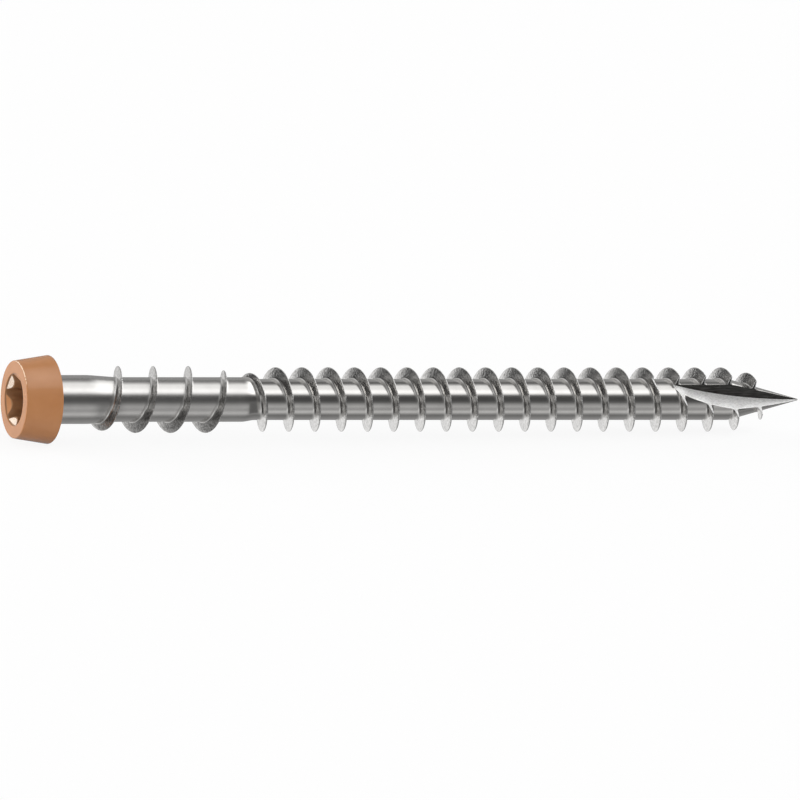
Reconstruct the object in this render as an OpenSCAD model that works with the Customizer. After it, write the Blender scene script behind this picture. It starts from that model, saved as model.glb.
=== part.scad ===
// Deck screw with a painted trim head, a star recess, a reverse upper thread, a coarse lower thread and
// a slotted point. Lengths are in millimetres and angles in degrees.
// It lies on its side, with the head at -X and the point at +X. The modules up to screw() share the screw's
// own frame: its axis is +Z, the face of the head is at z = 0 and the wall of the slot stands over +X.
// Distances along the axis are counted from the face.

/* [Head] */
// Length from the face of the head to the tip
screw_len = 63.5; // [50:0.5:76]
// Diameter of the flat face
face_d = 5.9; // [5.6:0.05:6.3]
// Diameter of the rim, where the head is widest
rim_d = 6.7; // [6.4:0.05:7.4]
// Height from the face to the seat under the rim
head_h = 2.8; // [2.6:0.02:3.2]
// Width of the bevel round the face
face_bevel = 0.06; // [0.04:0.01:0.2]
// Radius of the rounded rim
rim_round = 0.12; // [0.08:0.02:0.3]
// Width of the flat seat under the rim
seat_w = 0.5; // [0.3:0.05:0.7]
// Depth of the hollow between the seat and the neck
undercut_depth = 0.3; // [0.1:0.05:0.5]

/* [Star recess] */
// Diameter across the lobes
star_d = 3.9; // [3.6:0.05:4.2]
// Diameter across the bumps between the lobes
star_inner_d = 2.82; // [2.6:0.02:3]
// Radius of each lobe
lobe_r = 0.31; // [0.26:0.01:0.36]
// Depth of the lobes below the face
star_depth = 1.95; // [1.5:0.05:2.2]
// Width of the bevel between the lobes and the face
mouth_rim = 0.04; // [0.02:0.01:0.2]
// Angle of the sunk mouth, which bevels the bumps
mouth_angle = 120; // [100:5:130]
// Diameter of the cone at the bottom of the recess
star_cone_d = 2.4; // [2:0.1:2.5]
// Angle of the cone at the bottom of the recess
star_cone_angle = 130; // [118:2:150]
// Turn of the star about the axis
star_turn = 4; // [-30:1:30]

/* [Shank] */
// Diameter of the neck under the head
neck_d = 3.69; // [3.5:0.01:3.9]
// Distance from the face to the end of the neck
neck_end = 5.95; // [5:0.05:6.5]
// Length of the taper from the neck to the upper shank
neck_taper = 2.2; // [1:0.1:3]
// Diameter of the upper shank
upper_d = 3.37; // [3.2:0.01:3.6]
// Distance from the face to the shoulder
shoulder_at = 18.47; // [17:0.05:20]
// Length of the shoulder
shoulder_len = 0.73; // [0.4:0.01:1.2]
// Diameter of the lower shank
lower_d = 3.1; // [2.8:0.01:3.2]

/* [Point] */
// Angle of the cone at the point
point_angle = 29.6; // [24:0.2:36]
// Diameter of the blunt end of the tip
tip_d = 0.1; // [0.06:0.02:0.2]
// Radius of the cutter that mills the slot
cutter_r = 35; // [30:1:60]
// Distance from the tip back to where the floor of the slot meets the lower shank
slot_len = 10.6; // [8:0.1:12]
// Height of the floor of the slot over the axis at the tip
slot_floor = 0.02; // [0.01:0.01:0.1]

/* [Upper thread] */
// Diameter over the crests of the upper thread
upper_thread_d = 5.06; // [4.6:0.02:5.4]
// Pitch of the upper thread, which is left-handed
upper_pitch = 2.83; // [2.4:0.01:3.2]
// Distance from the end of the neck to the start of the upper thread
upper_lead = 0.15; // [0:0.05:1]
// Distance from the end of the upper thread to the shoulder
upper_gap = 0.52; // [0.2:0.02:2]
// Length over which the upper thread rises from the taper
upper_rise = 1.25; // [0.8:0.05:2.5]
// Length over which the upper thread falls away at its end
upper_fall = 2.7; // [1:0.1:3.5]
// Direction in which the upper thread starts
upper_turn = 243; // [0:1:360]

/* [Lower thread] */
// Diameter over the crests of the lower thread
lower_thread_d = 4.88; // [4.4:0.02:5.2]
// Pitch of the lower thread, which is right-handed
lower_pitch = 2.126; // [1.8:0.002:2.6]
// Distance by which the lower thread starts ahead of the shoulder
lower_lead = 0.37; // [0:0.01:1]
// Distance from the end of the lower thread to the tip
lower_gap = 2.3; // [1.6:0.1:3.5]
// Length over which the lower thread rises from the shoulder
lower_rise = 1.85; // [1:0.05:3]
// Length over which the lower thread falls away towards the tip
lower_fall = 1.6; // [1:0.1:4]
// Direction in which the lower thread starts
lower_turn = 173; // [0:1:360]

/* [Thread form] */
// Width of a thread at its crest
crest_w = 0.1; // [0.06:0.02:0.2]
// Width of a thread where its root fillets end
flank_w = 0.27; // [0.22:0.01:0.36]
// Width of a thread between the outer edges of its root fillets
root_w = 0.56; // [0.44:0.02:0.7]
// Height of the root fillets over the shank
fillet_h = 0.17; // [0.1:0.01:0.25]

/* [Rest] */
// Roll of the screw about its axis where it lies
rest_roll = 209; // [0:1:360]

/* [Hidden] */
paint = [0.72, 0.5, 0.36];
steel = [0.74, 0.74, 0.73];
round_fn = 96;
thread_steps = 32;
arc_steps = 4;
over = 0.5;
// Depth of a thread's base under the shank, and of its crest where the thread starts and ends
base_sink = 0.12;
start_sink = 0.05;

face_r = face_d / 2;
rim_r = rim_d / 2;
rim_at = head_h - rim_round;
neck_at = head_h - undercut_depth;
point_at = screw_len - (lower_d - tip_d) / 2 / tan(point_angle / 2);
upper_start = neck_end + upper_lead;
upper_end = shoulder_at - upper_gap;
lower_start = shoulder_at - lower_lead;
lower_end = screw_len - lower_gap;
upper_height = (upper_thread_d - upper_d) / 2;
lower_height = (lower_thread_d - lower_d) / 2;

// Pairs of distance along the axis and radius of the bare steel, from the neck to the tip
core = [
    [neck_at, neck_d / 2],
    [neck_end, neck_d / 2],
    [neck_end + neck_taper, upper_d / 2],
    [shoulder_at, upper_d / 2],
    [shoulder_at + shoulder_len, lower_d / 2],
    [point_at, lower_d / 2],
    [screw_len, tip_d / 2],
];

// Points of an arc, with or without its two ends
function arc(centre, r, from, to, ends = true) = [
    for (i = ends ? [0 : arc_steps] : [1 : arc_steps - 1])
        let (a = from + (to - from) * i / arc_steps)
            centre + r * [cos(a), sin(a)]
];

function turned(p, a) = [p[0] * cos(a) - p[1] * sin(a), p[0] * sin(a) + p[1] * cos(a)];

module head() {
    side_angle = atan((rim_r - face_r) / (rim_at - face_bevel));
    rotate_extrude($fn = round_fn)
        polygon(concat(
            [[0, 0], [face_r - face_bevel, 0], [face_r, face_bevel]],
            arc([rim_r - rim_round, rim_at], rim_round, -side_angle, 90),
            [[rim_r - rim_round - seat_w, head_h], [neck_d / 2, neck_at], [0, neck_at]]
        ));
}

module shank() {
    rotate_extrude($fn = round_fn)
        polygon(concat([[0, neck_at]], [for (c = core) [c[1], c[0]]], [[0, screw_len]]));
}

// Section of a thread at distance s with a share of its full height, as pairs of radius and distance along
// the axis, from its base on the side of the head over the crest to its base on the other side
function section(s, height, share) = [
    for (p = [
        [-root_w, -base_sink],
        [-flank_w, lift(fillet_h, share)],
        [-crest_w, lift(height, share)],
        [crest_w, lift(height, share)],
        [flank_w, lift(fillet_h, share)],
        [root_w, -base_sink],
    ])
        let (at = s + p[0] / 2)
            [lookup(at, core) + p[1], at]
];
function lift(full, share) = full * share - start_sink * (1 - share);

// Right-handed thread that starts over +X, rises out of the steel and falls back into it at its end
module thread(start, end, pitch, height, rise, fall) {
    count = ceil((end - start) / pitch * thread_steps);
    rings = [
        for (i = [0 : count])
            let (s = start + (end - start) * i / count)
            let (share = min(1, (s - start) / rise) * sin(90 * min(1, (end - s) / fall)))
            let (turn = 360 * (s - start) / pitch)
                [for (p = section(s, height, share)) concat(turned([p[0], 0], turn), p[1])]
    ];
    width = len(rings[0]);
    skin = [
        for (i = [0 : count - 1], j = [0 : width - 1])
            let (a = i * width + j, b = i * width + (j + 1) % width)
                each [[a, b, a + width], [b, b + width, a + width]]
    ];
    first_end = [for (j = [width - 1 : -1 : 0]) j];
    last_end = [for (j = [0 : width - 1]) count * width + j];
    polyhedron([for (ring = rings) each ring], concat([first_end], skin, [last_end]), convexity = 10);
}

module upper_thread() {
    rotate(upper_turn)
        mirror([0, 1, 0])
            thread(upper_start, upper_end, upper_pitch, upper_height, upper_rise, upper_fall);
}

module lower_thread() {
    rotate(lower_turn)
        thread(lower_start, lower_end, lower_pitch, lower_height, lower_rise, lower_fall);
}

// Outline of the star: six lobes joined by six bumps that are tangent to them
module star() {
    lobe_at = star_d / 2 - lobe_r;
    near = star_inner_d / 2;
    bump_r = (near ^ 2 + lobe_at ^ 2 - 2 * cos(30) * lobe_at * near - lobe_r ^ 2)
        / (2 * cos(30) * lobe_at + 2 * lobe_r - 2 * near);
    bump_at = near + bump_r;
    lean = asin(bump_at * sin(30) / (bump_r + lobe_r));
    polygon([
        for (k = [0 : 60 : 300])
            each concat(
                [for (p = arc([lobe_at, 0], lobe_r, -lean, lean)) turned(p, k)],
                [for (p = arc([bump_at, 0], bump_r, 150 + lean, 210 - lean, false)) turned(p, k + 30)]
            )
    ]);
}

// The star, the sunk mouth that bevels it and the cone that the punch leaves at the bottom
module recess() {
    mouth_r = star_d / 2 + mouth_rim;
    mouth_slope = tan(mouth_angle / 2);
    translate([0, 0, -over])
        cylinder(r1 = mouth_r + over * mouth_slope, r2 = 0, h = over + mouth_r / mouth_slope, $fn = round_fn);
    rotate(star_turn)
        translate([0, 0, -over]) linear_extrude(over + star_depth) star();
    translate([0, 0, star_depth])
        cylinder(d1 = star_cone_d, d2 = 0, h = star_cone_d / 2 / tan(star_cone_angle / 2), $fn = round_fn);
}

// The milled slot takes a quarter out of the point, between its wall and a shallow curved floor
module slot() {
    rise = lower_d / 2 - slot_floor;
    chord = sqrt(slot_len ^ 2 + rise ^ 2);
    lean = atan(rise / slot_len) - asin(chord / 2 / cutter_r);
    translate([slot_floor + cutter_r * cos(lean), 0, screw_len + cutter_r * sin(lean)])
        rotate([-90, 0, 0]) cylinder(r = cutter_r, h = rim_r, $fn = round_fn);
}

module screw() {
    difference() {
        union() {
            color(steel) shank();
            color(steel) upper_thread();
            color(steel) lower_thread();
            color(paint) head();
        }
        color(paint) recess();
        color(steel) slot();
    }
}

// It rests on its rim and on the last full turn of the lower thread, so the tip is lower than the head
last_turn_at = point_at - lower_pitch / 2;
rest_tilt = atan((rim_r - lower_thread_d / 2) / (last_turn_at - rim_at));
rest_h = rim_r * cos(rest_tilt) + rim_at * sin(rest_tilt);
rest_x = -(screw_len * cos(rest_tilt) - (face_r - face_bevel) * sin(rest_tilt)) / 2;

module deck_screw() {
    translate([rest_x, 0, rest_h])
        rotate([0, 90 + rest_tilt, 0])
            rotate(rest_roll)
                screw();
}

deck_screw();
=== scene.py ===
"""The looks of a deck screw that lies on a pale floor.

It has a painted trim head with a star recess, a left-handed upper thread, a right-handed lower thread and a
slotted point. The screw is built in its own frame in millimetres, with the face of its head at 0 and its axis
along +Z, and is then laid down where the solid lies.
"""
import math

import bmesh
import bpy
from mathutils import Matrix, Vector


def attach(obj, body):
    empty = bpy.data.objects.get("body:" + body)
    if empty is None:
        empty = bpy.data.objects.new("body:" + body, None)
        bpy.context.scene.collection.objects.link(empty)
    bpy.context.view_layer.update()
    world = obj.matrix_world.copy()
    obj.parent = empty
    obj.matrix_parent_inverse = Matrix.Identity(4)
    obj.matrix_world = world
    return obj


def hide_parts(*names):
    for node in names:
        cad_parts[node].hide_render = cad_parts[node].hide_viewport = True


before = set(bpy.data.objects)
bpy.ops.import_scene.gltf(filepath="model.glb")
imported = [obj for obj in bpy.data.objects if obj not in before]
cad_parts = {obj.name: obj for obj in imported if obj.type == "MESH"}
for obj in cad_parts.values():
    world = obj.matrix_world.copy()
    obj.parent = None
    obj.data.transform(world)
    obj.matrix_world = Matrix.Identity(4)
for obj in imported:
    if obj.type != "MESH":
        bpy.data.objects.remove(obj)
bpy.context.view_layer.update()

MM = 0.001

# Head
SCREW_LEN = 63.5
FACE_R = 2.95
RIM_R = 3.35
HEAD_H = 2.8
FACE_ROUND = 0.09
FACE_BEVEL = 0.06
RIM_ROUND = 0.12
SEAT_W = 0.5
UNDERCUT = 0.3

# Star recess
LOBES = 6
LOBE_TURN = 360 / LOBES
STAR_R = 1.95
STAR_INNER_R = 1.41
LOBE_R = 0.31
STAR_DEPTH = 1.95
STAR_FOOT = 0.1
MOUTH_RIM = 0.04
MOUTH_ANGLE = 120
EDGE = 0.025
CONE_R = 1.2
CONE_ANGLE = 130
STAR_TURN = 4

# A shallow step round the mouth of the recess
MOUTH_STEP = 0.07

# Shank
NECK_R = 1.845
NECK_END = 5.95
NECK_TAPER = 2.2
UPPER_R = 1.685
SHOULDER_AT = 18.47
SHOULDER_LEN = 0.73
LOWER_R = 1.55
POINT_ANGLE = 29.6
TIP_R = 0.05
BLUNT_R = 0.8 * TIP_R
BLEND = 0.22

# Slot
CUTTER_R = 35
SLOT_LEN = 10.6
SLOT_FLOOR = 0.02
CUT_PAST_TIP = 0.5

# Threads. Each rises out of the shank over its rise and sinks back over its fall, and turn is where round the
# axis it starts. A hand of 1 is right-handed and a hand of -1 is left-handed
UPPER_THREAD = {
    "start": 6.1, "end": 17.95, "pitch": 2.83, "height": 0.845,
    "rise": 1.25, "fall": 2.7, "turn": 243, "hand": -1,
}
LOWER_THREAD = {
    "start": 18.1, "end": 61.2, "pitch": 2.126, "height": 0.89,
    "rise": 1.85, "fall": 1.6, "turn": 173, "hand": 1,
}
CREST_W = 0.1
FLANK_W = 0.27
FILLET_H = 0.17
FILLET_REACH = 0.33

# Roll of the screw about its axis where it lies
REST_ROLL = 209

# Fineness of the mesh
COLUMNS = 96
LOBE_STEPS = 9
CREST_ANGLES = (30, 60, 83)
FILLET_STEPS = 5
ROOT_STEPS = 3
ARC_STEPS = 6
FLOOR_STEPS = 48
MIN_GAP = 0.02
SHARP_ANGLE = 48

# Where rings of points lie: angles round the foot of the recess, shares of the way along its cone, its wall,
# its mouth and the head's side, and distances from the face on the neck and the point
FOOT_ANGLES = (90, 60, 30, 0)
CONE_SHARES = (0.1, 0.5, 0.97)
WALL_SHARES = (0.3, 0.65, 1)
MOUTH_SHARES = (0.14, 0.5, 0.84, 0.95)
SIDE_SHARES = (0.03, 0.35, 0.65, 0.97)
NECK_RINGS = (HEAD_H - UNDERCUT + EDGE, HEAD_H + EDGE, 4, 5.2, 5.5)
POINT_RINGS = (62, 62.5, 63, 63.3, SCREW_LEN - EDGE)

PAINT, RECESS_SHADE_PAINT, MOUTH_HIGHLIGHT_PAINT, STEEL, MILLED, CUT_WALL = range(6)

POINT_AT = SCREW_LEN - (LOWER_R - TIP_R) / math.tan(math.radians(POINT_ANGLE / 2))
CORE = [
    (HEAD_H - UNDERCUT, NECK_R),
    (NECK_END, NECK_R),
    (NECK_END + NECK_TAPER, UPPER_R),
    (SHOULDER_AT, UPPER_R),
    (SHOULDER_AT + SHOULDER_LEN, LOWER_R),
    (POINT_AT, LOWER_R),
    (SCREW_LEN, TIP_R),
]


def core_radius(s):
    """Radius of the bare shank at distance s from the face, with its corners blended."""
    slopes = [(b[1] - a[1]) / (b[0] - a[0]) for a, b in zip(CORE, CORE[1:])]
    radius = CORE[0][1]
    for a, b, slope in zip(CORE, CORE[1:], slopes):
        radius += slope * max(0, min(s, b[0]) - a[0])
    for corner, before, after in zip(CORE[1:-1], slopes, slopes[1:]):
        near = max(0, 1 - abs(s - corner[0]) / BLEND)
        radius += (after - before) * BLEND / 4 * near**2
    return radius


def polar(radius, degrees, s=0.0):
    angle = math.radians(degrees)
    return Vector((radius * math.cos(angle), radius * math.sin(angle), s))


class Skin:
    """The points and faces of a surface, with the finish of each face."""

    def __init__(self):
        self.points = []
        self.faces = []
        self.finishes = []

    def point(self, place):
        self.points.append(place)
        return len(self.points) - 1

    def ring(self, places):
        return [self.point(p) for p in places]

    def circle(self, radius, s):
        return self.ring(polar(radius, 360 * a / COLUMNS, s) for a in range(COLUMNS))

    def face(self, corners, finish):
        self.faces.append(corners)
        self.finishes.append(finish)

    def band(self, near, far, finish):
        for a in range(len(near)):
            b = (a + 1) % len(near)
            self.face([near[a], near[b], far[b], far[a]], finish)

    def bands(self, rings, finish):
        for near, far in zip(rings, rings[1:]):
            self.band(near, far, finish)

    def fan(self, centre, ring, finish):
        for a in range(len(ring)):
            self.face([centre, ring[a], ring[(a + 1) % len(ring)]], finish)

    def mesh(self, name):
        made = bpy.data.meshes.new(name)
        made.from_pydata([tuple(p) for p in self.points], [], self.faces)
        made.polygons.foreach_set("material_index", self.finishes)
        shape = bmesh.new()
        shape.from_mesh(made)
        bmesh.ops.recalc_face_normals(shape, faces=shape.faces)
        shape.to_mesh(made)
        shape.free()
        return made


def star_outline():
    """Points of the star, one for each column: its lobes, joined by bumps that are tangent to them."""
    lobe_at = STAR_R - LOBE_R
    reach = math.cos(math.radians(LOBE_TURN / 2)) * lobe_at
    bump_r = (STAR_INNER_R**2 + lobe_at**2 - 2 * reach * STAR_INNER_R - LOBE_R**2) / (
        2 * reach + 2 * LOBE_R - 2 * STAR_INNER_R
    )
    bump_at = STAR_INNER_R + bump_r
    lean = math.degrees(math.asin(bump_at / 2 / (bump_r + LOBE_R)))
    bump_steps = COLUMNS // LOBES - LOBE_STEPS + 1
    lobe = [
        polar(lobe_at, 0) + polar(LOBE_R, lean * (2 * i / (LOBE_STEPS - 1) - 1))
        for i in range(LOBE_STEPS)
    ]
    bump = [
        polar(bump_at, LOBE_TURN / 2) + polar(bump_r, 180 + lean + (LOBE_TURN - 2 * lean) * i / bump_steps)
        for i in range(1, bump_steps)
    ]
    points = [
        Matrix.Rotation(math.radians(LOBE_TURN * k + STAR_TURN), 3, "Z") @ p
        for k in range(LOBES)
        for p in lobe + bump
    ]
    shift = LOBE_STEPS // 2 - round(STAR_TURN * COLUMNS / 360)
    return points[shift:] + points[:shift]


def recess(skin):
    """The star recess, from its deepest point out to its mouth. Returns the ring at the mouth."""
    star = star_outline()
    mouth_r = STAR_R + MOUTH_RIM
    mouth_slope = math.tan(math.radians(MOUTH_ANGLE / 2))
    cone_h = CONE_R / math.tan(math.radians(CONE_ANGLE / 2))

    def star_ring(inset, depth_of):
        return skin.ring(
            p.normalized() * (p.length - inset) + Vector((0, 0, depth_of(p.length - inset))) for p in star
        )

    def mouth_depth(radius):
        return MOUTH_STEP + (mouth_r - radius) / mouth_slope

    def mouth_ring(share):
        places = [p.normalized() * (p.length + (mouth_r - p.length) * share) for p in star]
        return skin.ring(p + Vector((0, 0, mouth_depth(p.length))) for p in places)

    deepest = skin.point(Vector((0, 0, STAR_DEPTH + cone_h)))
    rings = [skin.circle(CONE_R * share, STAR_DEPTH + cone_h * (1 - share)) for share in CONE_SHARES]
    rings.append(skin.circle(CONE_R + EDGE, STAR_DEPTH))
    skin.fan(deepest, rings[0], RECESS_SHADE_PAINT)
    for turn in FOOT_ANGLES:
        lean = math.radians(turn)
        inset = STAR_FOOT * (1 - math.cos(lean))
        rise = STAR_FOOT * (1 - math.sin(lean))
        rings.append(star_ring(inset, lambda r: STAR_DEPTH - rise))
    wall_foot = STAR_DEPTH - STAR_FOOT
    for share in WALL_SHARES:
        rings.append(star_ring(0, lambda r: wall_foot + share * (mouth_depth(r) + EDGE - wall_foot)))
    skin.bands(rings, RECESS_SHADE_PAINT)
    mouth = [rings[-1]] + [mouth_ring(share) for share in MOUTH_SHARES]
    skin.band(mouth[0], mouth[1], RECESS_SHADE_PAINT)
    skin.bands(mouth[1:-1], MOUTH_HIGHLIGHT_PAINT)
    skin.band(mouth[-2], mouth[-1], RECESS_SHADE_PAINT)
    step = [mouth[-1]] + [skin.circle(mouth_r, s) for s in (MOUTH_STEP - EDGE, EDGE)]
    skin.bands(step, RECESS_SHADE_PAINT)
    return step[-1]


def head(skin, mouth):
    """The painted head, from the mouth of its recess to its undercut. Returns the last ring."""
    rim_at = HEAD_H - RIM_ROUND
    side = math.atan((RIM_R - FACE_R) / (rim_at - FACE_BEVEL))
    touch = FACE_ROUND * (1 - math.sin(side))
    round_at = FACE_R + (touch - FACE_BEVEL) * math.tan(side) - FACE_ROUND * math.cos(side)
    mouth_at = STAR_R + MOUTH_RIM + EDGE
    profile = [(mouth_at, 0), (mouth_at + EDGE, 0), ((STAR_R + FACE_R) / 2, 0), (round_at - EDGE, 0)]
    for i in range(ARC_STEPS + 1):
        turn = math.radians(-90) + (math.radians(90) - side) * i / ARC_STEPS
        profile.append((round_at + FACE_ROUND * math.cos(turn), FACE_ROUND * (1 + math.sin(turn))))
    low = profile[-1]
    high = (RIM_R - RIM_ROUND + RIM_ROUND * math.cos(side), rim_at - RIM_ROUND * math.sin(side))
    for share in SIDE_SHARES:
        profile.append((low[0] + (high[0] - low[0]) * share, low[1] + (high[1] - low[1]) * share))
    for i in range(ARC_STEPS + 1):
        turn = -side + (math.radians(90) + side) * i / ARC_STEPS
        profile.append((RIM_R - RIM_ROUND + RIM_ROUND * math.cos(turn), rim_at + RIM_ROUND * math.sin(turn)))
    seat_in = RIM_R - RIM_ROUND - SEAT_W
    profile += [(seat_in + EDGE, HEAD_H), (seat_in - EDGE, HEAD_H - EDGE), (NECK_R + EDGE, HEAD_H - UNDERCUT)]
    rings = [mouth] + [skin.circle(radius, s) for radius, s in profile]
    skin.bands(rings, PAINT)
    return rings[-1]


def shank(skin, near, places):
    """A plain stretch of shank through these distances from the face. Returns the last ring."""
    rings = [near] + [skin.circle(core_radius(s), s) for s in places]
    skin.bands(rings, STEEL)
    return rings[-1]


def half_section(height, pitch):
    """Offsets along the axis and heights over the shank, from a thread's crest to halfway to the next."""
    crest_r = CREST_W / 2
    half = [(0, height)]
    for turn in CREST_ANGLES:
        angle = math.radians(turn)
        half.append((crest_r * math.sin(angle), height - crest_r * (1 - math.cos(angle))))
    crest, foot = half[-1], (FLANK_W / 2, FILLET_H)
    half.append(((crest[0] + foot[0]) / 2, (crest[1] + foot[1]) / 2))
    slope = (foot[0] - crest[0]) / (crest[1] - foot[1])
    knee = foot[0] + slope * foot[1]
    for i in range(FILLET_STEPS + 1):
        t = i / FILLET_STEPS
        offset = foot[0] * (1 - t) ** 2 + 2 * knee * t * (1 - t) + FILLET_REACH * t**2
        half.append((offset, foot[1] * (1 - t) ** 2))
    plain = pitch / 2 - FILLET_REACH
    half.append((FILLET_REACH + EDGE, 0))
    half += [(FILLET_REACH + plain * i / ROOT_STEPS, 0) for i in range(1, ROOT_STEPS + 1)]
    return half


def threaded(skin, near, s_from, s_to, thread):
    """A stretch of shank with a thread, in rows that follow its helix. Returns the last ring."""
    far = skin.circle(core_radius(s_to), s_to)
    start, end, pitch, hand = thread["start"], thread["end"], thread["pitch"], thread["hand"]
    half = half_section(thread["height"], pitch)
    section = [(-d, h) for d, h in reversed(half)] + half[1:-1]
    rows = len(section)
    turn = thread["turn"] * COLUMNS / 360
    first = math.ceil(turn) if hand > 0 else math.floor(turn)
    lead = abs(first - turn) / COLUMNS

    def height_share(at):
        rise = min(1, max(0, (at - start) / thread["rise"]))
        fall = min(1, max(0, (end - at) / thread["fall"]))
        return rise * math.sin(math.pi / 2 * fall)

    def column(c):
        angle = 360 * (first + hand * c) / COLUMNS
        found = {}
        for k in range(-2, math.ceil((s_to - start) / pitch) + 2):
            crest_at = start + pitch * (lead + c / COLUMNS + k)
            share = height_share(crest_at)
            for j, (offset, height) in enumerate(section):
                s = crest_at + offset
                if s_from + MIN_GAP < s < s_to - MIN_GAP:
                    found[k * rows + j] = skin.point(polar(core_radius(s) + height * share, angle, s))
        return found

    columns = [column(c) for c in range(COLUMNS)]
    columns.append({n - rows: point for n, point in columns[0].items()})
    for c in range(COLUMNS):
        left, right = columns[c], columns[c + 1]
        a, b = (first + hand * c) % COLUMNS, (first + hand * (c + 1)) % COLUMNS
        low, high = max(min(left), min(right)), min(max(left), max(right))
        skin.face(
            [near[a], near[b]]
            + [right[n] for n in range(min(right), low + 1)]
            + [left[n] for n in range(low, min(left) - 1, -1)],
            STEEL,
        )
        for n in range(low, high):
            skin.face([left[n], right[n], right[n + 1], left[n + 1]], STEEL)
        skin.face(
            [left[n] for n in range(max(left), high - 1, -1)]
            + [right[n] for n in range(high, max(right) + 1)]
            + [far[b], far[a]],
            STEEL,
        )
    return far


def screw_skin():
    skin = Skin()
    ring = head(skin, recess(skin))
    ring = shank(skin, ring, NECK_RINGS)
    between = (UPPER_THREAD["end"] + LOWER_THREAD["start"]) / 2
    ring = threaded(skin, ring, NECK_RINGS[-1], between, UPPER_THREAD)
    ring = threaded(skin, ring, between, LOWER_THREAD["end"] + FILLET_REACH, LOWER_THREAD)
    ring = shank(skin, ring, POINT_RINGS)
    last = skin.circle(BLUNT_R, SCREW_LEN)
    skin.band(ring, last, STEEL)
    skin.face(last, STEEL)
    return skin


def slot_cutter():
    """The space that the cutter sweeps over one quarter of the point, with a curved floor and a flat wall."""
    rise = LOWER_R - SLOT_FLOOR
    lean = math.atan(rise / SLOT_LEN) - math.asin(math.hypot(SLOT_LEN, rise) / 2 / CUTTER_R)
    centre_x = SLOT_FLOOR + CUTTER_R * math.cos(lean)
    centre_s = SCREW_LEN + CUTTER_R * math.sin(lean)
    outside = RIM_R
    first = centre_s - math.sqrt(CUTTER_R**2 - (centre_x - outside) ** 2)
    last = SCREW_LEN + CUT_PAST_TIP
    floor = []
    for i in range(FLOOR_STEPS + 1):
        s = first + (last - first) * i / FLOOR_STEPS
        floor.append((centre_x - math.sqrt(CUTTER_R**2 - (s - centre_s) ** 2), s))
    outline = floor + [(outside, last)]
    skin = Skin()
    wall = skin.ring(Vector((x, 0, s)) for x, s in outline)
    open_side = skin.ring(Vector((x, outside, s)) for x, s in outline)
    skin.band(wall, open_side, MILLED)
    skin.face(wall, CUT_WALL)
    skin.face(open_side, STEEL)
    return skin


def part_finishes(mesh):
    """Makes each edge between two finishes a sharp one."""
    shape = bmesh.new()
    shape.from_mesh(mesh)
    for edge in shape.edges:
        if len({face.material_index for face in edge.link_faces}) > 1:
            edge.smooth = False
    shape.to_mesh(mesh)
    shape.free()


def placement():
    """How the screw lies, on its rim and the last full turn of its lower thread, and the tilt of its axis."""
    rim_at = HEAD_H - RIM_ROUND
    last_turn_at = POINT_AT - LOWER_THREAD["pitch"] / 2
    tilt = math.atan((RIM_R - LOWER_R - LOWER_THREAD["height"]) / (last_turn_at - rim_at))
    height = RIM_R * math.cos(tilt) + rim_at * math.sin(tilt)
    back = (SCREW_LEN * math.cos(tilt) - (FACE_R - FACE_BEVEL) * math.sin(tilt)) / 2
    laid = (
        Matrix.Translation((-back, 0, height))
        @ Matrix.Rotation(math.radians(90) + tilt, 4, "Y")
        @ Matrix.Rotation(math.radians(REST_ROLL), 4, "Z")
    )
    return laid, tilt


LAID, TILT = placement()


def build_screw(finishes):
    solid = bpy.data.objects.new("deck_screw_finish", screw_skin().mesh("deck_screw_finish"))
    cutter = bpy.data.objects.new("cutter", slot_cutter().mesh("cutter"))
    for part in (solid, cutter):
        bpy.context.scene.collection.objects.link(part)
        for finish in finishes:
            part.data.materials.append(finish)
    cut = solid.modifiers.new("slot", "BOOLEAN")
    cut.operation = "DIFFERENCE"
    cut.solver = "MANIFOLD"
    cut.object = cutter
    bpy.context.view_layer.update()
    ready = bpy.data.meshes.new_from_object(solid.evaluated_get(bpy.context.evaluated_depsgraph_get()))
    solid.modifiers.clear()
    bpy.data.objects.remove(cutter)
    solid.data = ready
    ready.transform(Matrix.Scale(MM, 4) @ LAID)
    ready.shade_smooth()
    ready.set_sharp_from_angle(angle=math.radians(SHARP_ANGLE))
    part_finishes(ready)
    return solid


class Nodes:
    """Short calls that add and link the nodes of one tree."""

    def __init__(self, tree):
        self.tree = tree

    def add(self, kind, inputs=None, **settings):
        node = self.tree.nodes.new(kind)
        for name, value in settings.items():
            setattr(node, name, value)
        for name, value in (inputs or {}).items():
            if isinstance(value, bpy.types.NodeSocket):
                self.tree.links.new(value, node.inputs[name])
            else:
                node.inputs[name].default_value = value
        return node

    def math(self, operation, a, b=0.0):
        return self.add("ShaderNodeMath", {0: a, 1: b}, operation=operation).outputs[0]

    def map_range(self, value, low, high, to_low=0.0, to_high=1.0, **settings):
        inputs = {"Value": value, "From Min": low, "From Max": high, "To Min": to_low, "To Max": to_high}
        return self.add("ShaderNodeMapRange", inputs, **settings).outputs["Result"]

    def smooth(self, value, low, high):
        return self.map_range(value, low, high, interpolation_type="SMOOTHSTEP")

    def within(self, value, fades):
        """1 between the middle two of four values, fading to 0 at the outer two."""
        rises, falls = fades[:2], fades[2:]
        return self.math(
            "MULTIPLY", self.smooth(value, *rises), self.math("SUBTRACT", 1.0, self.smooth(value, *falls))
        )

    def mix(self, share, first, second):
        return self.add("ShaderNodeMix", {0: share, 6: first, 7: second}, data_type="RGBA").outputs[2]

    def ramp(self, factor, stops):
        node = self.add("ShaderNodeValToRGB", {"Fac": factor})
        elements = node.color_ramp.elements
        while len(elements) > 1:
            elements.remove(elements[-1])
        elements[0].position, elements[0].color = stops[0]
        for place, colour in stops[1:]:
            elements.new(place).color = colour
        return node.outputs["Color"]

    def split(self, vector):
        return self.add("ShaderNodeSeparateXYZ", {"Vector": vector}).outputs


def new_material(name):
    made = bpy.data.materials.new(name)
    made.use_nodes = True
    made.node_tree.nodes.clear()
    return made, Nodes(made.node_tree)


def grey(level):
    return (level, level, level, 1)


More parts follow.
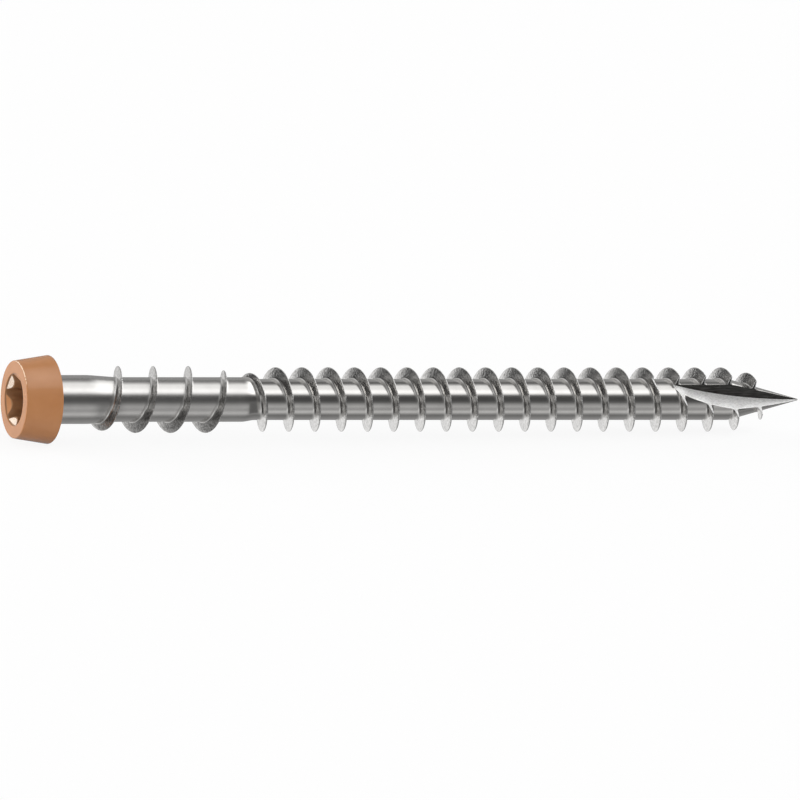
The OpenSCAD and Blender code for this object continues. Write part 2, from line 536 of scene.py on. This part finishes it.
def own_frame(n):
    """Coordinates in the screw's own frame, in millimetres."""
    back = LAID.inverted()
    return n.add(
        "ShaderNodeMapping",
        {
            "Vector": n.add("ShaderNodeTexCoord").outputs["Object"],
            "Location": back.to_translation(),
            "Rotation": back.to_euler(),
            "Scale": (1 / MM, 1 / MM, 1 / MM),
        },
    ).outputs[0]


def off_axis(n, coords):
    parts = n.split(coords)
    squares = n.math("ADD", n.math("POWER", parts["X"], 2.0), n.math("POWER", parts["Y"], 2.0))
    return n.math("SQRT", squares)


def round_axis(n, coords):
    """Angle about the axis, in radians."""
    parts = n.split(coords)
    return n.math("ARCTAN2", parts["Y"], parts["X"])


def from_face(n, coords):
    return n.split(coords)["Z"]


def over_shank(n, coords):
    """Height over the bare shank."""
    s = from_face(n, coords)
    core = NECK_R
    for a, b in zip(CORE, CORE[1:]):
        if a[1] != b[1]:
            core = n.math("ADD", n.map_range(s, a[0], b[0], 0.0, b[1] - a[1]), core)
    return n.math("SUBTRACT", off_axis(n, coords), core)


def noise(n, coords, scale, detail, stretch=1.0):
    """Noise in the screw's own frame, stretched along its axis."""
    drawn = n.add("ShaderNodeMapping", {"Vector": coords, "Scale": (1, 1, 1 / stretch)}).outputs[0]
    return n.add("ShaderNodeTexNoise", {"Vector": drawn, "Scale": scale, "Detail": detail}).outputs["Fac"]


# Noises of the steel, as their scale, detail and stretch along the axis, and the heights in millimetres of
# those that stand out
BLOTCHES = (0.9, 4.0)
STREAKS = (6.0, 3.0, 15.0)
STREAK_H = 0.001
MOTTLES = (5.5, 4.0)
MOTTLE_H = 0.022
GRAIN = (14.0, 2.0)
GRAIN_H = 0.004
MILLED_LINES = (14.0, 3.0, 3.0)
MILLED_LINE_H = 0.004
WALL_LINES = (9.0, 3.0, 8.0)
WALL_LINE_H = 0.001

# Tones of the steel at two levels of its noise; the wall's near-black tones are painted shade in the slot
UPPER_BARE = [(0.3, (0.66, 0.648, 0.632, 1)), (0.7, (0.71, 0.698, 0.68, 1))]
LOWER_BARE = [(0.3, (0.64, 0.628, 0.61, 1)), (0.7, (0.7, 0.688, 0.67, 1))]
UPPER_MOTTLED = [(0.36, (0.4, 0.392, 0.382, 1)), (0.6, (0.72, 0.71, 0.695, 1))]
LOWER_MOTTLED = [(0.36, (0.6, 0.59, 0.577, 1)), (0.58, (0.86, 0.85, 0.835, 1))]
MILLED_TONES = [(0.34, (0.72, 0.715, 0.705, 1)), (0.6, (0.98, 0.975, 0.965, 1))]
WALL_SHADE_TONES = [(0.35, (0.03, 0.029, 0.028, 1)), (0.65, (0.085, 0.083, 0.08, 1))]
# Tone of the rim of a cut, a painted highlight
RIM_HIGHLIGHT = 0.97

UPPER_ROUGHNESS = 0.22
LOWER_ROUGHNESS = 0.13
THREAD_ROUGHER = 0.05
MILLED_ROUGHNESS = 0.4
MILLED_METALLIC = 0.35
WALL_ROUGHNESS = 0.3

# Heights over the bare shank between which the smooth shank turns into the mottled thread, and places on the
# axis between which the upper steel turns into the lower
THREAD_FROM = (0.06, 0.2)
LOWER_FROM = (SHOULDER_AT - 1, SHOULDER_AT + SHOULDER_LEN)

# Radii in millimetres over which an edge of the steel and a rim of the cut are rounded to catch the light,
# the rim with a painted highlight too, and samples taken
EDGE_GLINT = 0.045
RIM_GLINT = 0.13
GLINT_SAMPLES = 6
# Cosines between which the rim of a cut gives way to its face, distances from the wall between which the
# floor's rim begins, and heights over the shank between which the wall's does
RIM_FACING = (0.88, 0.985)
FLOOR_RIM_FROM = (0.08, 0.16)
WALL_RIM_FROM = (0.0, 0.1)


def metal(made, n, colour, metallic, roughness, relief, glint):
    """Ends a metal's nodes, with its relief in millimetres and the radius of its rounded edges."""
    rounded = n.add("ShaderNodeBevel", {"Radius": glint * MM}, samples=GLINT_SAMPLES).outputs["Normal"]
    bump = n.add("ShaderNodeBump", {"Height": relief, "Distance": MM, "Normal": rounded}).outputs["Normal"]
    shader = n.add(
        "ShaderNodeBsdfPrincipled",
        {"Base Color": colour, "Metallic": metallic, "Roughness": roughness, "Normal": bump},
    )
    n.add("ShaderNodeOutputMaterial", {"Surface": shader.outputs[0]})
    return made


def rim(n):
    """Share of the rounded rim along the edges of a cut face, which carries a painted highlight."""
    rounded = n.add("ShaderNodeBevel", {"Radius": RIM_GLINT * MM}, samples=GLINT_SAMPLES).outputs["Normal"]
    plain = n.add("ShaderNodeNewGeometry").outputs["Normal"]
    facing = n.add("ShaderNodeVectorMath", {0: rounded, 1: plain}, operation="DOT_PRODUCT").outputs["Value"]
    return n.math("SUBTRACT", 1.0, n.smooth(facing, *RIM_FACING))


def steel_material():
    """Rolled steel, drawn and smooth on the shank and mottled on the threads."""
    made, n = new_material("stainless_steel")
    coords = own_frame(n)
    thread = n.smooth(over_shank(n, coords), *THREAD_FROM)
    lower = n.smooth(from_face(n, coords), *LOWER_FROM)
    blotches = noise(n, coords, *BLOTCHES)
    bare = n.mix(lower, n.ramp(blotches, UPPER_BARE), n.ramp(blotches, LOWER_BARE))
    mottles = noise(n, coords, *MOTTLES)
    mottled = n.mix(lower, n.ramp(mottles, UPPER_MOTTLED), n.ramp(mottles, LOWER_MOTTLED))
    smoothest = n.map_range(lower, 0.0, 1.0, UPPER_ROUGHNESS, LOWER_ROUGHNESS)
    roughness = n.math("ADD", smoothest, n.math("MULTIPLY", thread, THREAD_ROUGHER))
    streaks = n.math("MULTIPLY", noise(n, coords, *STREAKS), STREAK_H)
    dents = n.math("MULTIPLY", mottles, MOTTLE_H)
    grain = n.math("MULTIPLY", noise(n, coords, *GRAIN), GRAIN_H)
    relief = n.math("ADD", streaks, n.math("MULTIPLY", thread, n.math("ADD", dents, grain)))
    return metal(made, n, n.mix(thread, bare, mottled), 1.0, roughness, relief, EDGE_GLINT)


def milled_material():
    """The floor of the slot, whose rounded rim is lightened as a painted highlight and ends before the wall.
    """
    made, n = new_material("milled_steel")
    coords = own_frame(n)
    rim_highlight = n.math("MULTIPLY", rim(n), n.smooth(n.split(coords)["Y"], *FLOOR_RIM_FROM))
    lines = noise(n, coords, *MILLED_LINES)
    colour = n.mix(rim_highlight, n.ramp(lines, MILLED_TONES), grey(RIM_HIGHLIGHT))
    metallic = n.map_range(rim_highlight, 0.0, 1.0, MILLED_METALLIC, 1.0)
    relief = n.math("MULTIPLY", lines, MILLED_LINE_H)
    return metal(made, n, colour, metallic, MILLED_ROUGHNESS, relief, RIM_GLINT)


def cut_wall_material():
    """The wall of the slot, darkened as painted shade, with a painted highlight on its rounded rim where it
    cuts the threads.
    """
    made, n = new_material("cut_wall")
    coords = own_frame(n)
    rim_highlight = n.math("MULTIPLY", rim(n), n.smooth(over_shank(n, coords), *WALL_RIM_FROM))
    lines = noise(n, coords, *WALL_LINES)
    colour = n.mix(rim_highlight, n.ramp(lines, WALL_SHADE_TONES), grey(RIM_HIGHLIGHT))
    relief = n.math("MULTIPLY", lines, WALL_LINE_H)
    return metal(made, n, colour, n.math("SUBTRACT", 1.0, rim_highlight), WALL_ROUGHNESS, relief, RIM_GLINT)


# Noises of the paint, as their scale and detail, the height of its peel in millimetres, and the levels of a
# noise between which it roughens the edge of a painted highlight
TINT = (0.7, 3.0)
PEEL = (5.0, 2.0)
PEEL_H = 0.002
EDGE_HIGHLIGHT_NOISE = (6.0, 3.0)
MOUTH_HIGHLIGHT_JITTER = (8.0, 3.0)
MOUTH_HIGHLIGHT_NOISE = (9.0, 3.0)
NOISE_LEVELS = (0.3, 0.7)

# Tones of the paint at two levels of its noise: its tan, a darker tan as painted shade in the recess, and
# pale painted highlights on the mouth's bumps and the face's edge
TAN = [(0.3, (0.48, 0.208, 0.08, 1)), (0.7, (0.52, 0.232, 0.092, 1))]
RECESS_SHADE_TAN = [(0.3, (0.32, 0.17, 0.082, 1)), (0.7, (0.38, 0.2, 0.098, 1))]
MOUTH_HIGHLIGHT_TONES = [(0.35, (0.8, 0.6, 0.44, 1)), (0.55, (0.95, 0.82, 0.7, 1))]
FACE_EDGE_HIGHLIGHT = (0.94, 0.73, 0.53, 1)

PAINT_ROUGHNESS = 0.18
RECESS_ROUGHNESS = 0.3
PAINT_IOR = 1.5

# Angle about the axis round which a painted highlight lies along the face's edge, the cosines of the angle
# from there between which the highlight begins, the radii less depths between which it does, and how far that
# line is roughened by noise
EDGE_HIGHLIGHT_AT = -8
EDGE_HIGHLIGHT_COSINES = (0.78, 0.96)
EDGE_HIGHLIGHT_FROM = (FACE_R - 0.067, FACE_R - 0.052)
EDGE_HIGHLIGHT_JITTER = 0.015
# Levels between which the painted highlight on a bump begins, on a wave that is 1 at a highlit bump of the
# mouth and
# -1 at one that keeps its plain paint, and how far that wave is roughened by noise
BUMP_HIGHLIGHT_FROM = (0.35, 0.5)
BUMP_HIGHLIGHT_JITTER = 0.12


def paint(made, n, colour, roughness):
    """Ends a paint's nodes, with the fine peel of a baked coat."""
    peel = n.math("MULTIPLY", noise(n, own_frame(n), *PEEL), PEEL_H)
    bump = n.add("ShaderNodeBump", {"Height": peel, "Distance": MM}).outputs["Normal"]
    shader = n.add(
        "ShaderNodeBsdfPrincipled",
        {"Base Color": colour, "Roughness": roughness, "IOR": PAINT_IOR, "Normal": bump},
    )
    n.add("ShaderNodeOutputMaterial", {"Surface": shader.outputs[0]})
    return made


def tinted(n, tones):
    return n.ramp(noise(n, own_frame(n), *TINT), tones)


def jittered(n, coords, jitter, reach):
    return n.map_range(noise(n, coords, *jitter), *NOISE_LEVELS, -reach, reach)


def paint_material():
    """The tan paint, with a painted highlight as a pale line along a part of the face's edge."""
    made, n = new_material("tan_paint")
    coords = own_frame(n)
    outwards = n.math("SUBTRACT", off_axis(n, coords), from_face(n, coords))
    outwards = n.math("ADD", outwards, jittered(n, coords, EDGE_HIGHLIGHT_NOISE, EDGE_HIGHLIGHT_JITTER))
    nearby = n.math("COSINE", n.math("SUBTRACT", round_axis(n, coords), math.radians(EDGE_HIGHLIGHT_AT)))
    face_highlight = n.math("MULTIPLY", n.smooth(outwards, *EDGE_HIGHLIGHT_FROM), n.smooth(nearby, *EDGE_HIGHLIGHT_COSINES))
    return paint(made, n, n.mix(face_highlight, tinted(n, TAN), FACE_EDGE_HIGHLIGHT), PAINT_ROUGHNESS)


def recess_shade_paint_material():
    """The paint inside the recess, darker as painted shade."""
    made, n = new_material("recess_shade_paint")
    return paint(made, n, tinted(n, RECESS_SHADE_TAN), RECESS_ROUGHNESS)


def mouth_highlight_paint_material():
    """The mouth of the recess, where every other bump carries a pale painted highlight and those between keep
    their paint.
    """
    made, n = new_material("mouth_highlight_paint")
    coords = own_frame(n)
    from_bump = n.math("SUBTRACT", round_axis(n, coords), math.radians(STAR_TURN + LOBE_TURN / 2))
    wave = n.math("COSINE", n.math("MULTIPLY", from_bump, LOBES / 2))
    wave = n.math("ADD", wave, jittered(n, coords, MOUTH_HIGHLIGHT_JITTER, BUMP_HIGHLIGHT_JITTER))
    painted = n.smooth(n.math("MULTIPLY", wave, -1.0), *BUMP_HIGHLIGHT_FROM)
    kept = n.mix(painted, tinted(n, RECESS_SHADE_TAN), tinted(n, TAN))
    bump_highlight = n.ramp(noise(n, coords, *MOUTH_HIGHLIGHT_NOISE), MOUTH_HIGHLIGHT_TONES)
    return paint(made, n, n.mix(n.smooth(wave, *BUMP_HIGHLIGHT_FROM), kept, bump_highlight), RECESS_ROUGHNESS)


# Camera, as the photograph sees the screw: turned from its side towards the head, and raised about its axis
VIEW_TURN = 21
VIEW_LIFT = 15
PHOTO_SIZE = 800
FACE_AT_PIXEL = (13.8, 399.5)
MM_PER_PIXEL = 0.0753
SENSOR = 36
LENS = 1500
CLIP_START = 0.1
CLIP_END = 10


def add_camera():
    axis = Vector((math.cos(TILT), 0, -math.sin(TILT)))
    side = Vector((0, -1, 0))
    over = Vector((math.sin(TILT), 0, math.cos(TILT)))
    lift, turn = math.radians(VIEW_LIFT), math.radians(VIEW_TURN)
    out = side * math.cos(lift) + over * math.sin(lift)
    up = over * math.cos(lift) - side * math.sin(lift)
    back = out * math.cos(turn) - axis * math.sin(turn)
    right = axis * math.cos(turn) + out * math.sin(turn)
    middle = PHOTO_SIZE / 2
    to_right = right * (middle - FACE_AT_PIXEL[0]) * MM_PER_PIXEL
    upwards = up * (FACE_AT_PIXEL[1] - middle) * MM_PER_PIXEL
    aim = LAID @ Vector((0, 0, 0)) + to_right + upwards
    distance = MM_PER_PIXEL * PHOTO_SIZE * LENS / SENSOR
    camera = bpy.data.objects.new("camera", bpy.data.cameras.new("camera"))
    camera.data.sensor_width = SENSOR
    camera.data.lens = LENS
    camera.data.clip_start = CLIP_START
    camera.data.clip_end = CLIP_END
    turned = Matrix((right, up, back)).transposed().to_4x4()
    camera.matrix_world = Matrix.Translation((aim + back * distance) * MM) @ turned
    bpy.context.scene.collection.objects.link(camera)
    bpy.context.scene.camera = camera


# Light that reaches the screw from beyond each end, as pairs of degrees and brightness. The degrees turn
# about its axis, from 0 at the front horizon over the top to 180 at the back, and are negative below the
# horizon
LIGHT_BY_TIP = [
    (-180, 0.25), (-150, 0.32), (-125, 0.34), (-100, 0.26), (-88, 0.2), (-78, 0.28), (-60, 0.68), (-42, 0.38),
    (-25, 0.54), (-12, 0.36), (-2, 0.16), (8, 0.09), (24, 0.08), (34, 0.14), (40, 0.4), (46, 1.05), (53, 1.5),
    (62, 1.55), (72, 1.25), (82, 1.1), (96, 1.1), (104, 0.6), (116, 0.15), (126, 0.13), (140, 0.35),
    (165, 0.35), (180, 0.28),
]
LIGHT_BY_HEAD = [
    (-180, 0.95), (-165, 0.82), (-148, 0.95), (-120, 0.55), (-90, 0.42), (-75, 0.5), (-55, 0.8), (-38, 0.48),
    (-15, 0.4), (2, 0.18), (18, 0.2), (42, 0.4), (60, 0.36), (92, 0.3), (106, 0.36), (122, 0.65), (140, 0.65),
    (160, 0.55), (180, 0.5),
]
# Places along the axis between which one light gives way to the next, as a direction's share along it: -1 is
# straight behind the head and 1 straight past the tip
HEAD_TO_TIP = (0.1, 0.3)
SHADE_TO_HEAD = (-0.65, -0.45)
# Places between which the shade behind the head deepens, and its brightness at both
SHADE_FROM = (-0.88, -0.68)
SHADE = (0.14, 0.03)
# Cards in that light: the degrees and the places along the axis over which each fades in and out, and its
# brightness. Places past -1 or 1 leave that end open
CARDS = {
    "softbox": ((40, 56, 120, 136), (0.38, 0.5, 2, 3), 1.8),
    "dark_card": ((-78, -66, -8, 4), (0.41, 0.47, 2, 3), 0.15),
    "side_card": ((-30, -12, 10, 24), (-3, -2, -0.66, -0.5), 0.7),
    "back_card": ((-164, -155, -138, -124), (-0.92, -0.82, -0.56, -0.46), 0.36),
}


def light_studio():
    world = bpy.data.worlds.new("studio")
    bpy.context.scene.world = world
    world.use_nodes = True
    world.node_tree.nodes.clear()
    n = Nodes(world.node_tree)
    parts = n.split(n.add("ShaderNodeTexCoord").outputs["Generated"])
    along = parts["X"]
    turn = n.math("ARCTAN2", parts["Z"], n.math("MULTIPLY", parts["Y"], -1.0))
    degrees = n.math("DEGREES", turn)
    place = n.map_range(degrees, -180, 180)

    def light(stops):
        return n.ramp(place, [((turned + 180) / 360, grey(brightness)) for turned, brightness in stops])

    shade = n.map_range(along, *SHADE_FROM, *SHADE)
    level = n.mix(n.smooth(along, *SHADE_TO_HEAD), shade, light(LIGHT_BY_HEAD))
    level = n.mix(n.smooth(along, *HEAD_TO_TIP), level, light(LIGHT_BY_TIP))
    for turned, placed, brightness in CARDS.values():
        share = n.math("MULTIPLY", n.within(degrees, turned), n.within(along, placed))
        level = n.mix(share, level, grey(brightness))
    seen = n.add("ShaderNodeLightPath").outputs["Is Camera Ray"]
    sky = n.add("ShaderNodeBackground", {"Color": n.mix(seen, level, grey(1)), "Strength": 1.0})
    n.add("ShaderNodeOutputWorld", {"Surface": sky.outputs[0]})


# Soft lamps for the paint and the floor, as the direction they stand in, their strength and their width in
# degrees
LAMPS = {
    "front_lamp": ((-0.17, -0.95, 0.28), 1.66, 90),
    "head_lamp": ((-0.85, 0.5, 0.15), 3.35, 40),
}


def add_lamps():
    for name, (towards, strength, softness) in LAMPS.items():
        lamp = bpy.data.objects.new(name, bpy.data.lights.new(name, "SUN"))
        lamp.data.energy = strength
        lamp.data.angle = math.radians(softness)
        lamp.rotation_mode = "QUATERNION"
        lamp.rotation_quaternion = Vector(towards).to_track_quat("Z", "Y")
        lamp.visible_glossy = False
        bpy.context.scene.collection.objects.link(lamp)


# Card over the head, which shows only as gloss on its side: the direction it stands in from the head, its
# distance, length along the screw and width across it, the angle it shines over and its brightness
CARD_TOWARDS = (0.08, -0.25, 0.96)
CARD_AWAY = 20
CARD_ALONG = 6
CARD_ACROSS = 25
CARD_SPREAD = 90
CARD_LIGHT = 0.45


def add_card():
    head_at = LAID @ Vector((0, 0, HEAD_H / 2))
    away = Vector(CARD_TOWARDS).normalized()
    across = away.cross(Vector((1, 0, 0))).normalized()
    card = bpy.data.objects.new("gloss_card", bpy.data.lights.new("gloss_card", "AREA"))
    card.data.shape = "RECTANGLE"
    card.data.size = CARD_ALONG * MM
    card.data.size_y = CARD_ACROSS * MM
    card.data.spread = math.radians(CARD_SPREAD)
    card.data.energy = CARD_LIGHT * math.pi * card.data.size * card.data.size_y
    card.location = (head_at + away * CARD_AWAY) * MM
    card.rotation_mode = "QUATERNION"
    card.rotation_quaternion = Matrix((across.cross(away), across, away)).transposed().to_quaternion()
    card.visible_camera = False
    card.visible_diffuse = False
    bpy.context.scene.collection.objects.link(card)


# Floor, with its half width in metres, the share of plain white that it gives the camera, and the grey of the
# rest, which takes light and shadow, to other rays and to the camera
FLOOR_SIZE = 3.0
FLOOR_SQUARES = 8
FLOOR_WHITE = 0.9
FLOOR_TO_RAYS = 0.7
FLOOR_TO_CAMERA = 0.95


def add_floor():
    shape = bmesh.new()
    bmesh.ops.create_grid(shape, x_segments=FLOOR_SQUARES, y_segments=FLOOR_SQUARES, size=FLOOR_SIZE)
    mesh = bpy.data.meshes.new("floor")
    shape.to_mesh(mesh)
    shape.free()
    floor = bpy.data.objects.new("floor", mesh)
    bpy.context.scene.collection.objects.link(floor)
    made, n = new_material("floor_white")
    seen = n.add("ShaderNodeLightPath").outputs["Is Camera Ray"]
    colour = n.mix(seen, grey(FLOOR_TO_RAYS), grey(FLOOR_TO_CAMERA))
    pale = n.add("ShaderNodeBsdfDiffuse", {"Color": colour})
    white = n.add("ShaderNodeEmission", {"Color": grey(1), "Strength": 1.0})
    share = n.math("MULTIPLY", seen, FLOOR_WHITE)
    mixed = n.add("ShaderNodeMixShader", {0: share, 1: pale.outputs[0], 2: white.outputs[0]})
    n.add("ShaderNodeOutputMaterial", {"Surface": mixed.outputs[0]})
    mesh.materials.append(made)
    floor.visible_glossy = False


bpy.context.scene.view_settings.view_transform = "Standard"
screw = build_screw(
    [
        paint_material(),
        recess_shade_paint_material(),
        mouth_highlight_paint_material(),
        steel_material(),
        milled_material(),
        cut_wall_material(),
    ]
)
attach(screw, "root")
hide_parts("deck_screw")
add_floor()
light_studio()
add_lamps()
add_card()
add_camera()
